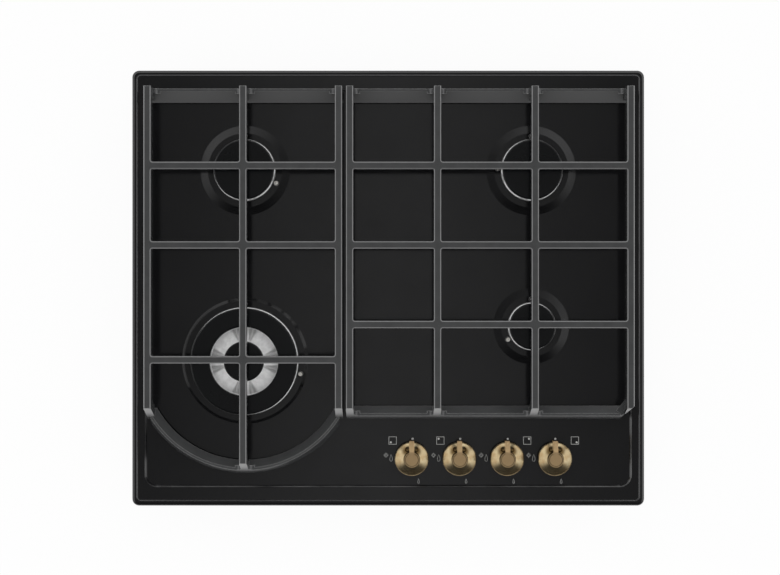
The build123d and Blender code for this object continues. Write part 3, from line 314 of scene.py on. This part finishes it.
def make_cast_skin(name, colour, roughness, metallic, size=0.0007, depth=0.00012):
    """The slightly pebbled skin of a casting, with darker clouds."""
    cast = new_finish(name, colour, roughness, metallic)
    place = place_on(cast)
    skin = apply_effect(cast, grain, place, Size=size, Contrast=2.5)
    raise_relief(cast, skin["Height"], depth)
    spread(cast, "Roughness", skin["Mask"], low=roughness * 1.15, high=roughness * 0.9)
    cloud = apply_effect(cast, grain, place, Size=0.012, Contrast=2.0)
    tint(cast, cloud["Mask"], shade(colour, 0.78))
    return cast


def make_moulding(name, colour, roughness):
    """Moulded plastic or rubber: fine spark-eroded grain, and a faint unevenness of gloss."""
    moulding = new_finish(name, colour, roughness)
    place = place_on(moulding)
    fine = apply_effect(moulding, grain, place, Size=0.0005, Contrast=2.0)
    raise_relief(moulding, fine["Height"], depth=0.00004)
    bloom = apply_effect(moulding, grain, place, Size=0.01, Contrast=2.5)
    spread(moulding, "Roughness", bloom["Mask"], low=roughness * 0.88, high=roughness * 1.1)
    tint(moulding, bloom["Mask"], shade(colour, 1.25))
    return moulding


def copy_coil(name, solid):
    """A copy of a spring's solid, with its loose triangles welded together."""
    wire = bmesh.new()
    wire.from_mesh(solid.data)
    bmesh.ops.remove_doubles(wire, verts=wire.verts, dist=weld_distance)
    mesh = solid.data.copy()
    wire.to_mesh(mesh)
    wire.free()
    coil = bpy.data.objects.new(name, mesh)
    scene.collection.objects.link(coil)
    return coil


cast_aluminium = make_cast_skin("cast_aluminium", (0.50, 0.50, 0.51), roughness=0.5, metallic=0.9)
bright_steel = make_drawn_metal("bright_steel", colour=(0.58, 0.58, 0.59), roughness=0.3)
magnet_brass = make_drawn_metal("magnet_brass", brass_colour, roughness=0.3)
black_plastic = make_moulding("black_plastic", colour=(0.022, 0.022, 0.024), roughness=0.5)
dress(["tap_covers"], zinc_sheet)
dress(["safety_magnets"], magnet_brass)
dress(["ignition_switches"], black_plastic)
for n in taps:
    low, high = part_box(f"tap_plug_{n}")
    plug_brass = make_turned_metal(f"plug_brass_{n}", brass_colour, roughness=0.3, centre=(low + high) / 2)
    dress([f"tap_plug_{n}"], plug_brass)
    dress([f"tap_body_{n}"], cast_aluminium)
    dress([f"tap_spindle_{n}", f"tap_spring_{n}"], bright_steel)
    coil = copy_coil(f"return_spring_{n}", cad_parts[f"tap_spring_{n}"])
    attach(coil, f"plug_{n}")
    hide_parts(f"tap_spring_{n}")
    low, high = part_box(f"tap_spring_{n}")
    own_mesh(coil)

# ---------------------------------------------------------------- burner tubes
# Bare drawn aluminium tubes, bent cold, lead the gas from each tap to its burner.
# Handling has left them slightly mottled.

tube_aluminium = make_drawn_metal("tube_aluminium", colour=(0.66, 0.66, 0.67), roughness=0.36)
dress(["burner_tubes"], tube_aluminium)

# ---------------------------------------------------------------- ignition and leads
# The moulded spark generator lies on the bottom box's floor. Silicone leads join it to the
# electrodes and the tap switches, and a moulded gland brings the supply lead in at the rear.
# The leads from the safety magnets to the thermocouples are thin copper tubes.

red_silicone = make_moulding("lead_silicone", colour=(0.23, 0.035, 0.025), roughness=0.42)
copper_tube = make_drawn_metal("copper_tube", colour=(0.62, 0.30, 0.17), roughness=0.34)
dress(["ignition_module", "cable_gland"], black_plastic)
dress(["spark_leads", "switch_harness", "supply_lead"], red_silicone)
dress(["thermocouple_leads"], copper_tube)

# ---------------------------------------------------------------- burner cups
# Die-cast cups are screwed up under the plate, round its holes, and carry the crowns.
# A small brass injector stands in the middle of each.

burners = ["front_left", "rear_left", "rear_right", "front_right"]
injector_brass = make_drawn_metal("injector_brass", brass_colour, roughness=0.3)
dress([f"burner_cup_{name}" for name in burners], cast_aluminium)
dress(["injectors"], injector_brass)

# ---------------------------------------------------------------- electrodes and thermocouples
# A white glazed ceramic rod beside each crown holds the spark pin, and a steel probe behind
# the crown feels the flame. Both come up through the cup's flange and the plate.


def make_glazed_ceramic():
    ceramic = new_finish("white_ceramic", colour=(0.80, 0.79, 0.75), roughness=0.22)
    place = place_on(ceramic)
    glaze = apply_effect(ceramic, grain, place, Size=0.0012, Contrast=1.5)
    raise_relief(ceramic, glaze["Height"], depth=0.00002)
    notch_shade = apply_effect(ceramic, grain, place, Size=0.003, Contrast=3.5)
    tint(ceramic, notch_shade["Mask"], colour=(0.66, 0.63, 0.57))
    return ceramic


probe_steel = make_drawn_metal("probe_steel", colour=(0.50, 0.49, 0.47), roughness=0.38)
dress(["electrode_ceramics"], make_glazed_ceramic())
dress(["electrode_pins"], bright_steel)
dress(["thermocouples"], probe_steel)

# ---------------------------------------------------------------- top plate
# One sheet of steel, pressed with a rolled rim, a sunk tray and a raised ring round each
# burner, then covered all over with glossy black vitreous enamel, fired in a kiln.

specks_per_metre = 260.0
speck_radius = 0.045  # as a share of the usual distance between two specks
bead_inset, bead_corner = 0.0062, 0.005
bead_width, bead_rise = 0.0011, 0.0009
step_side_inset, step_end_inset, step_corner = 0.0158, 0.0228, 0.0132
step_width = 0.0010


def make_enamel(name, colour, roughness, ripple):
    """Fired glass on steel: a soft ripple of the melt, pinpoint specks, faint wipe marks."""
    enamel = new_finish(name, colour, roughness)
    tree, place = enamel.node_tree, place_on(enamel)
    melt = apply_effect(enamel, grain, place, Size=0.006, Contrast=1.0)
    raise_relief(enamel, melt["Height"], ripple)
    wiped = apply_effect(enamel, grain, place, Size=0.045, Contrast=2.2)
    spread(enamel, "Roughness", wiped["Mask"], low=roughness * 0.8, high=roughness * 1.35)
    specks = add_node(tree, "TexVoronoi", Vector=place, Scale=specks_per_metre)
    speck_colour = tuple(channel * 3.0 + 0.01 for channel in colour)
    on_speck = calculate(tree, "LESS_THAN", specks.outputs["Distance"], speck_radius)
    tint(enamel, on_speck, speck_colour)
    return enamel


def make_frame_line_group():
    """A line round a rectangle with round corners, centred on the place, in metres."""
    numbers = {"Half X": 0.1, "Half Y": 0.1, "Corner": 0.01, "Width": 0.001}
    group, given, result = new_effect("frame_line", numbers, ["Mask"])
    half = add_node(group, "CombineXYZ", X=given["Half X"], Y=given["Half Y"])
    corner = add_node(group, "CombineXYZ", X=given["Corner"], Y=given["Corner"])
    aside = calculate_vector(group, "ABSOLUTE", flatten(group, given["Place"]))
    beyond = calculate_vector(group, "SUBTRACT", aside, half.outputs["Vector"])
    from_corner = calculate_vector(group, "ADD", beyond, corner.outputs["Vector"])
    outside = calculate_vector(group, "MAXIMUM", from_corner, (0.0, 0.0, 0.0))
    distance = calculate_vector(group, "LENGTH", outside)
    apart = calculate(group, "ABSOLUTE", calculate(group, "SUBTRACT", distance, given["Corner"]))
    feed(group, remap(group, apart, 0.0, given["Width"], 1.0, 0.0), result["Mask"])
    return group


def raise_bead_and_paint_highlights(enamel):
    """A low bead round the rim with a painted highlight on it, and a painted highlight along the upper
    edge of the step down to the tray.
    """
    tree, place = enamel.node_tree, place_on(enamel)
    group, half = make_frame_line_group(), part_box("top_plate")[1]

    def draw_line(side_inset, end_inset, corner, width):
        sizes = {"Half X": half.x - side_inset, "Half Y": half.y - end_inset, "Corner": corner}
        return apply_effect(enamel, group, place, Width=width, **sizes)["Mask"]

    bead = draw_line(bead_inset, bead_inset, bead_corner, bead_width)
    raise_relief(enamel, bead, bead_rise)
    # A paler line along the bead: a painted highlight on its relief.
    tint(enamel, bead, colour=(0.055, 0.055, 0.057))
    # A paler line along the upper edge of the step, broken up by a coarse grain: a painted highlight.
    step = draw_line(step_side_inset, step_end_inset, step_corner, step_width)
    highlight_breaks = apply_effect(enamel, grain, place, Size=0.05, Contrast=2.0)
    tint(enamel, calculate(tree, "MULTIPLY", step, highlight_breaks["Mask"]), colour=(0.17, 0.17, 0.17))


plate_enamel = make_enamel("plate_enamel", (0.0050, 0.0050, 0.0055), roughness=0.13, ripple=0.00003)
raise_bead_and_paint_highlights(plate_enamel)
dress(["top_plate"], plate_enamel)

# ---------------------------------------------------------------- printed marks
# Pale grey ceramic ink, screen-printed on the plate round the knobs and fired with it:
# an off dot, a square that shows which burner, a spark and large flame, a small flame.

knob_axes = []
for n in taps:
    low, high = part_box(f"tap_spindle_{n}")
    knob_axes.append((low + high) / 2)
tray_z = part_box("spindle_seals")[0].z
ink_rise = 0.00006
# Places are from a knob's axis, to the right and to the rear.
off_dot_place, off_dot_radius = (0.0012, 0.0226), 0.0013
square_size, square_line = 0.0092, 0.00048
squares_beside, squares_behind = (-0.0222, -0.0220, 0.0240, 0.0242), 0.0206
burner_corners = [(-1, -1), (-1, 1), (1, 1), (1, -1)]  # which corner of its square is marked
burner_dot_radius, burner_dot_inset = 0.0012, 0.0025
spark_place, spark_reach, spark_rays = (-0.0300, 0.0035), 0.0028, 8
ray_root, short_ray, ray_half_thick = 0.35 * spark_reach, 0.8 * spark_reach, 0.09 * spark_reach
large_flame_place, large_flame_size = (-0.0240, 0.0005), (0.0050, 0.0086)
small_flame_place, small_flame_size = (0.0081, -0.0268), (0.0034, 0.0058)
flame_line, flame_taper = 0.00045, 0.75


def new_piece(name, build, finish):
    """An object at the origin, whose mesh is built by a function."""
    shape = bmesh.new()
    build(shape)
    mesh = bpy.data.meshes.new(name)
    shape.to_mesh(mesh)
    shape.free()
    mesh.materials.append(finish)
    piece = bpy.data.objects.new(name, mesh)
    scene.collection.objects.link(piece)
    return piece


def on_plate(axis, x, y):
    """A place in the ink's layer on the plate, from a knob's axis."""
    return Matrix.Translation((axis.x + x, axis.y + y, tray_z + ink_rise))


def print_dot(shape, place, radius):
    bmesh.ops.create_circle(shape, cap_ends=True, radius=radius, segments=20, matrix=place)


def print_frame(shape, place, size, line):
    """A thin square frame: a patch whose middle is inset and taken out."""
    patch = bmesh.ops.create_grid(shape, x_segments=1, y_segments=1, size=size / 2, matrix=place)
    middle = list(patch["verts"][0].link_faces)
    shape.normal_update()
    bmesh.ops.inset_region(
        shape, faces=middle, thickness=line, use_boundary=True, use_even_offset=True
    )
    bmesh.ops.delete(shape, geom=middle, context="FACES")


def print_flame(shape, place, size, line):
    """The outline of a flame: a ring drawn out to a tip, and given its width inwards."""
    width, height = size
    ring = bmesh.ops.create_circle(shape, radius=1.0, segments=24)["verts"]
    for vert in ring:
        swell = (abs(1 - vert.co.y) / 2) ** flame_taper
        vert.co.x *= swell * width / 2
        vert.co.y *= height / 2
    edges = list({edge for vert in ring for edge in vert.link_edges})
    drawn = bmesh.ops.extrude_edge_only(shape, edges=edges)["geom"]
    inner = [part for part in drawn if isinstance(part, bmesh.types.BMVert)]
    bmesh.ops.scale(shape, verts=inner, vec=(1 - 2 * line / width, 1 - 2 * line / height, 1.0))
    bmesh.ops.translate(shape, verts=inner, vec=(0.0, -line / 3, 0.0))
    bmesh.ops.transform(shape, verts=ring + inner, matrix=place)


def print_spark(shape, place):
    """A small star of thin rays, long and short in turn."""
    for k in range(spark_rays):
        tip = spark_reach if k % 2 == 0 else short_ray
        turned = place @ Matrix.Rotation(2 * math.pi * k / spark_rays, 4, "Z")
        middle = turned @ Matrix.Translation(((ray_root + tip) / 2, 0.0, 0.0))
        ray = middle @ Matrix.Diagonal(((tip - ray_root) / 2, ray_half_thick, 1.0, 1.0))
        bmesh.ops.create_grid(shape, x_segments=1, y_segments=1, size=1.0, matrix=ray)


def print_marks(shape):
    """The marks round each knob, all with their printed side up."""
    to_corner = square_size / 2 - burner_dot_inset
    for axis, beside, (right, back) in zip(knob_axes, squares_beside, burner_corners):
        print_dot(shape, on_plate(axis, *off_dot_place), off_dot_radius)
        print_frame(shape, on_plate(axis, beside, squares_behind), square_size, square_line)
        dot_place = (beside + right * to_corner, squares_behind + back * to_corner)
        print_dot(shape, on_plate(axis, *dot_place), burner_dot_radius)
        print_spark(shape, on_plate(axis, *spark_place))
        print_flame(shape, on_plate(axis, *large_flame_place), large_flame_size, flame_line)
        print_flame(shape, on_plate(axis, *small_flame_place), small_flame_size, flame_line)
    shape.normal_update()
    bmesh.ops.reverse_faces(shape, faces=[face for face in shape.faces if face.normal.z < 0])


def make_ink():
    ink = new_finish("printed_ink", colour=(0.50, 0.50, 0.48), roughness=0.5)
    screen = apply_effect(ink, grain, place_on(ink), Size=0.0005, Contrast=2.5)
    tint(ink, screen["Mask"], colour=(0.36, 0.36, 0.35))
    return ink


marks = new_piece("printed_marks", print_marks, make_ink())
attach(marks, "hob")

# ---------------------------------------------------------------- flame crowns
# Die-cast aluminium crowns, turned bright on their lips and seats, lie loose on the cups.
# Each has a ring of slots for the flames, and the triple crown has three.

dark_rim_width = 0.0008  # the width of the near-black ring at the outer edge
quarter_turn = math.pi / 2
notch_angle = math.radians(15.0)  # between a notch and the nearest quarter turn
fan_root, fan_reach = 0.021, 0.0388  # the radii between which the painted shade of the notches lies
fan_widening = 9.0  # radians gained per metre
fan_outer_edge, fan_inner_edge = math.radians(3.5), math.radians(-2.0)  # from a fan's outline
streaks_per_radian, streak_swing, streak_middle = 42.0, -0.22, 0.5


def make_crown_metal(name, centre, radius):
    """Blasted aluminium, near-black at the outer edge, with painted shade over the notches."""
    pale = (0.97, 0.97, 0.97)
    crown = make_turned_metal(name, pale, roughness=0.5, centre=centre, pitch=0.0006, depth=0.00003)
    surface_of(crown)["Metallic"].default_value = 0.08
    tree, place = crown.node_tree, place_on(crown, centre)
    skin = apply_effect(crown, grain, place, Size=0.0008, Contrast=2.0)
    raise_relief(crown, skin["Height"], depth=0.00003)
    out = calculate_vector(tree, "LENGTH", flatten(tree, place))
    # A near-black ring at the crown's outer edge.
    tint(crown, calculate(tree, "GREATER_THAN", out, radius - dark_rim_width), colour=(0.05, 0.05, 0.05))
    # Painted shade over the notches: fans that widen outwards, in streaks, 15 degrees either side of each
    # quarter turn.
    spot = add_node(tree, "SeparateXYZ", Vector=place).outputs
    turn = calculate(tree, "ARCTAN2", spot["Y"], spot["X"])
    around = calculate(tree, "PINGPONG", turn, quarter_turn / 2)
    off_notch = calculate(tree, "ABSOLUTE", calculate(tree, "SUBTRACT", around, notch_angle))
    widened = calculate(tree, "MULTIPLY", calculate(tree, "SUBTRACT", out, fan_root), fan_widening)
    off_fan = calculate(tree, "SUBTRACT", off_notch, widened)
    fan = remap(tree, off_fan, fan_outer_edge, fan_inner_edge)
    wave = calculate(tree, "COSINE", calculate(tree, "MULTIPLY", off_notch, streaks_per_radian))
    streak = calculate(tree, "MULTIPLY_ADD", wave, streak_swing, streak_middle)
    within = calculate(tree, "LESS_THAN", out, fan_reach)
    notch_shade = calculate(tree, "MULTIPLY", calculate(tree, "MULTIPLY", fan, streak), within)
    tint(crown, notch_shade, colour=(0.22, 0.22, 0.22))
    return crown


for name in burners:
    low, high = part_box(f"flame_crown_{name}")
    metal = make_crown_metal(f"crown_aluminium_{name}", (low + high) / 2, (high.x - low.x) / 2)
    dress([f"flame_crown_{name}"], metal)

# ---------------------------------------------------------------- burner caps
# Pressed steel caps in satin black enamel lie on the crowns and spread the flames.
# Their enamel is thicker and less glossy than the plate's.

caps = ["front_left_ring", "front_left_centre", "rear_left", "rear_right", "front_right"]
cap_enamel = make_enamel("cap_enamel", (0.0022, 0.0027, 0.0033), roughness=0.22, ripple=0.00002)
surface_of(cap_enamel)["Specular IOR Level"].default_value = 0.33
dress([f"burner_cap_{name}" for name in caps], cap_enamel)

# ---------------------------------------------------------------- pan supports
# Two grids of cast iron under matt black enamel stand on rubber pads and carry the pans.
# The casting's sand skin shows through the enamel. Its rounds, corners and sloping faces are paler:
# painted highlights.

support_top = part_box("pan_support_right")[1].z
# The radius over which sharp corners are rounded off, to find them for their painted highlight.
highlight_radius = 0.0013
# Each pair says where a painted highlight sets in and where it is full. A lean is a part of
# the surface's normal: Z is 1 on a top, Y is -1 on a face to the front.
round_from_side, round_from_top = (0.25, 0.45), (0.96, 0.85)
round_heights = (support_top - 0.0035, support_top - 0.0025)
corner_sharpness, corner_lean = (0.97, 0.85), (0.3, 0.5)
rear_slope_lean, rear_slope_facing, rear_slope_places = (0.5, 0.7), (-0.35, -0.5), (0.10, 0.15)
front_slope_lean, front_slope_facing = (0.2, 0.3), (-0.85, -0.92)
front_slope_heights = (support_top - 0.042, support_top - 0.010)


def paint_edge_highlights(iron):
    """Paints highlights on the rounds of the bars' tops, the bands' corners and the slopes."""
    tree = iron.node_tree
    spot = add_node(tree, "SeparateXYZ", Vector=place_on(iron)).outputs
    normal = add_node(tree, "TexCoord").outputs["Normal"]
    lean = add_node(tree, "SeparateXYZ", Vector=normal).outputs

    def paint_highlight(colour, *limits):
        """Paints a highlight where each value is past its pair of limits."""
        shared = 1.0
        for value, (start, full) in limits:
            shared = calculate(tree, "MULTIPLY", remap(tree, value, start, full), shared)
        tint(iron, shared, colour)

    # The rounds of the bars' tops: a painted highlight.
    on_round = (lean["Z"], round_from_side), (lean["Z"], round_from_top)
    paint_highlight((0.18, 0.18, 0.182), *on_round, (spot["Z"], round_heights))

    # Sharp corners, found where a rounded normal turns away from the plain one: a painted highlight.
    softened = add_node(tree, "Bevel", {"samples": 4}, Radius=highlight_radius).outputs["Normal"]
    unsoftened = add_node(tree, "NewGeometry").outputs["Normal"]
    alike = calculate_vector(tree, "DOT_PRODUCT", softened, unsoftened)
    paint_highlight((0.27, 0.27, 0.27), (alike, corner_sharpness), (lean["Z"], corner_lean))

    # The sloping inner faces of the rear bands, facing the front: painted light, paler than the iron.
    on_rear_slope = (lean["Y"], rear_slope_facing), (lean["Z"], rear_slope_lean)
    paint_highlight((0.092, 0.092, 0.093), *on_rear_slope, (spot["Y"], rear_slope_places))

    # The sloping front ends of the legs: a strong painted highlight.
    on_front_slope = (lean["Z"], front_slope_lean), (lean["Y"], front_slope_facing)
    paint_highlight((0.44, 0.44, 0.44), *on_front_slope, (spot["Z"], front_slope_heights))


cast_iron = make_cast_skin(
    "cast_iron", (0.052, 0.053, 0.054), roughness=0.24, metallic=0.0, size=0.0009, depth=0.00006
)
paint_edge_highlights(cast_iron)
dress(["pan_support_left", "pan_support_right"], cast_iron)
rubber = make_moulding("black_rubber", colour=(0.022, 0.022, 0.022), roughness=0.75)
dress(["support_pads_left", "support_pads_right"], rubber)

# ---------------------------------------------------------------- knobs
# Four turned brass knobs with an aged finish push on the tap spindles, each over a rubber
# seal in the plate. The flank is left bright from the lathe. The pointer and the boss, with
# a ring cut round it, are blasted dull.

blast_start, blast_end = -0.0006, -0.0002  # from the knob's top
pointer_edge, pointer_core = 0.0031, 0.0027  # from the pointer's middle line
pointer_start = 0.0060  # from the knob's axis
# Where the painted shade beside the pointer's foot sits, and how far it reaches.
pocket_aside, pocket_behind, pocket_below = 0.0058, 0.0105, 0.005
pocket_edge, pocket_core = 0.0085, 0.0030


def make_aged_brass(n, axis):
    """Brass with stains, a dull stippled boss and pointer, and painted shade at the pointer's foot."""
    brass = new_finish(f"knob_brass_{n}", colour=(0.36, 0.295, 0.18), roughness=0.30, metallic=1.0)
    tree, place = brass.node_tree, place_on(brass, (axis.x, axis.y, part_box(f"knob_{n}")[1].z))
    rings = apply_effect(brass, lathe_rings, place, Pitch=0.0005, Waver=0.25)
    raise_relief(brass, rings["Height"], depth=0.00003)
    patina = apply_effect(brass, grain, place, Size=0.007, Contrast=3.0)
    tint(brass, patina["Mask"], colour=(0.28, 0.20, 0.105))
    # Painted shade in the hollows either side of the pointer's foot.
    for side in (-1, 1):
        pocket = (side * pocket_aside, pocket_behind, -pocket_below)
        pocket_shade = remap(tree, calculate_vector(tree, "DISTANCE", place, pocket), pocket_edge, pocket_core)
        tint(brass, pocket_shade, colour=(0.085, 0.055, 0.022))
    spot = add_node(tree, "SeparateXYZ", Vector=place).outputs
    on_top = remap(tree, spot["Z"], blast_start, blast_end, curve="LINEAR")
    aside = calculate(tree, "ABSOLUTE", spot["X"])
    in_line = remap(tree, aside, pointer_edge, pointer_core, curve="LINEAR")
    ahead = calculate(tree, "GREATER_THAN", spot["Y"], pointer_start)
    dull = calculate(tree, "MAXIMUM", on_top, calculate(tree, "MULTIPLY", in_line, ahead))
    tint(brass, dull, colour=(0.42, 0.29, 0.15))
    spread(brass, "Metallic", dull, low=1.0, high=0.62)
    spread(brass, "Roughness", dull, low=0.26, high=0.50)
    stipple = apply_effect(brass, grain, place, Size=0.0007, Contrast=3.0)
    raise_relief(brass, calculate(tree, "MULTIPLY", stipple["Mask"], dull), depth=0.00008)
    return brass


for n, axis in zip(taps, knob_axes):
    dress([f"knob_{n}"], make_aged_brass(n, axis))
dress(["spindle_seals"], rubber)

# ---------------------------------------------------------------- worktop clamps
# Bent steel brackets hook under the worktop and are drawn tight by a screw each.
# They are zinc-coated like the box that they are screwed to.

dress(["worktop_clamps", "clamp_screws"], zinc_sheet)

# ---------------------------------------------------------------- studio floor
# Pale seamless paper, which lies a hair under the object and keeps its shadow.
# The camera and the enamel see it nearly white, and it can be seen through from below.

floor_reach = 15.0
floor_drop = 0.0004
floor_glow = 0.93


def build_floor(shape):
    lowered = Matrix.Translation((0.0, 0.0, -floor_drop))
    bmesh.ops.create_grid(shape, x_segments=1, y_segments=1, size=floor_reach, matrix=lowered)


def mix_shaders(tree, share, first, second):
    """The first shader where the share is 0, the second where it is 1."""
    mix = add_node(tree, "MixShader")
    for value, socket in zip((share, first, second), mix.inputs):
        feed(tree, value, socket)
    return mix.outputs["Shader"]


def make_floor_finish():
    finish = new_finish("studio_floor", colour=(0.88, 0.88, 0.88), roughness=0.9)
    tree = finish.node_tree
    ray = add_node(tree, "LightPath").outputs
    seen = calculate(tree, "MAXIMUM", ray["Is Camera Ray"], ray["Is Glossy Ray"])
    seen = calculate(tree, "MAXIMUM", seen, ray["Is Transmission Ray"])
    share = calculate(tree, "MULTIPLY", seen, floor_glow)
    paper = tree.nodes["Principled BSDF"].outputs["BSDF"]
    from_above = mix_shaders(tree, share, paper, add_node(tree, "Emission").outputs["Emission"])
    from_below = add_node(tree, "NewGeometry").outputs["Backfacing"]
    clear = add_node(tree, "BsdfTransparent").outputs["BSDF"]
    either = mix_shaders(tree, from_below, from_above, clear)
    feed(tree, either, tree.nodes["Material Output"].inputs["Surface"])
    return finish


floor = new_piece("floor", build_floor, make_floor_finish())

# ---------------------------------------------------------------- studio light
# Plain even light on every surface. Only what glossy surfaces mirror is shaped: a ring of
# pale walls, darker at the foot, overhead and in front, and a dim strip overhead.
# So the enamel mirrors what it would in a room of soft lamps.

wall_light = 2.0
# Bands of directions: Z is 1 straight up, Y is -1 straight to the front.
foot_light, foot_band = 0.55, (0.05, 0.35)
ceiling_light, ceiling_band = 0.15, (0.50, 0.78)
front_light, front_band = 0.05, (-0.22, -0.70)
strip_light, strip_band, strip_half_width = 0.32, (0.90, 0.98), 0.16


def light_the_world():
    world = bpy.data.worlds.new("studio_light")
    world.use_nodes = True
    tree = world.node_tree
    around = add_node(tree, "TexCoord").outputs["Generated"]
    direction = add_node(tree, "SeparateXYZ", Vector=around).outputs
    foot = remap(tree, direction["Z"], *foot_band, foot_light, 1.0)
    walls = remap(tree, direction["Z"], *ceiling_band, wall_light, ceiling_light)
    front = remap(tree, direction["Y"], *front_band, 1.0, front_light)
    aside = calculate(tree, "ABSOLUTE", direction["X"])
    strip = remap(tree, aside, strip_half_width, 0.0, 0.0, strip_light)
    overhead = remap(tree, direction["Z"], *strip_band)
    room = calculate(tree, "MULTIPLY", calculate(tree, "MULTIPLY", walls, foot), front)
    shaped = calculate(tree, "ADD", room, calculate(tree, "MULTIPLY", strip, overhead))
    mirrored = add_node(tree, "LightPath").outputs["Is Glossy Ray"]
    level = add_node(tree, "Mix", Factor=mirrored, A=1.0, B=shaped).outputs["Result"]
    background = tree.nodes["Background"].inputs
    background["Color"].default_value = (1.0, 1.0, 1.0, 1.0)
    feed(tree, level, background["Strength"])
    world.cycles.sampling_method = "NONE"
    scene.world = world


light_the_world()

# ---------------------------------------------------------------- camera
# It looks straight down on the hob from two metres above the tray, with a long lens.
# It stands slightly off the middle, so that the hob lies in the frame as it should.

camera_place = (0.0021, 0.0007, tray_z + 2.0)
view = bpy.data.cameras.new("camera")
view.sensor_width = 36.0
view.lens = 78.8
camera = bpy.data.objects.new("camera", view)
camera.location = camera_place
scene.collection.objects.link(camera)
scene.camera = camera
